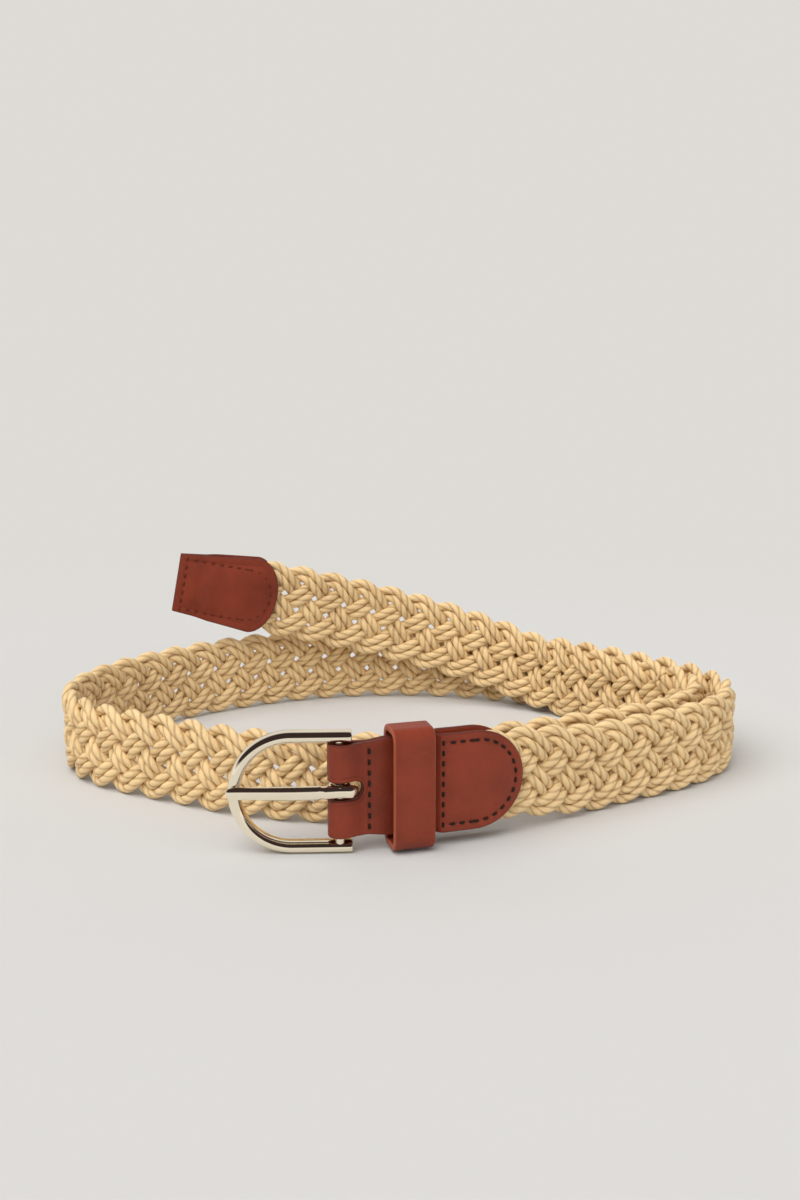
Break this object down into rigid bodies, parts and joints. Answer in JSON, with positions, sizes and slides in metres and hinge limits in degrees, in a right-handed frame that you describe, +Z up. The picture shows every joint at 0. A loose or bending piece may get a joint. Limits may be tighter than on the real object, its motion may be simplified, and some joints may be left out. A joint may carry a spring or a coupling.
{
  "type": "braided cord belt",
  "caption": "Braided cord belt with leather ends and a half-oval prong buckle, standing on edge in a loose coil of one and a half turns.",
  "frame": {"origin": "on the floor under the middle of the coiled belt", "axes": "+Z up the strap's width, X across the coil, the buckle faces -Y"},
  "size_m": [0.2382, 0.1758, 0.0652],
  "materials": {
    "light_gold": "polished",
    "leather": "satin",
    "dark_thread": "matte",
    "brown_thread": "matte",
    "steel_wire": "satin",
    "waxed_cord": "satin"
  },
  "bodies": {
    "coil": {"braid_coil": "waxed_cord"},
    "buckle_end": {"buckle_leather": "leather", "fold_stitching": "dark_thread", "tab_stitching": "dark_thread", "braid_start": "waxed_cord"},
    "buckle": {"buckle_frame": "light_gold", "buckle_bar": "light_gold"},
    "tongue": {"buckle_prong": "light_gold"},
    "keeper": {"keeper_loop": "leather", "keeper_staple": "steel_wire"},
    "tail": {"braid_tail": "waxed_cord", "tip_leather": "leather", "tip_stitching": "brown_thread"}
  },
  "joints": [
    {"name": "buckle_end_flex", "type": "hinge", "parent": "coil", "child": "buckle_end", "pos_m": [0.06905, -0.04387, 0], "axis": [0, 0, 1], "range_deg": [-5, 30]},
    {"name": "buckle_swing", "type": "hinge", "parent": "buckle_end", "child": "buckle", "pos_m": [-0.0179, -0.0825, 0], "axis": [0, 0, 1], "range_deg": [-10, 60]},
    {"name": "tongue_swing", "type": "hinge", "parent": "buckle", "child": "tongue", "pos_m": [-0.0179, -0.0825, 0], "axis": [0, 0, 1], "range_deg": [0, 75]},
    {"name": "keeper_slide", "type": "slide", "parent": "buckle_end", "child": "keeper", "axis": [0.9616, 0.2743, 0], "range_m": [-0.005, 0]},
    {"name": "tail_flex", "type": "hinge", "parent": "coil", "child": "tail", "pos_m": [0.08014, 0.04172, 0], "axis": [0, 0, 1], "range_deg": [0, 30]}
  ]
}
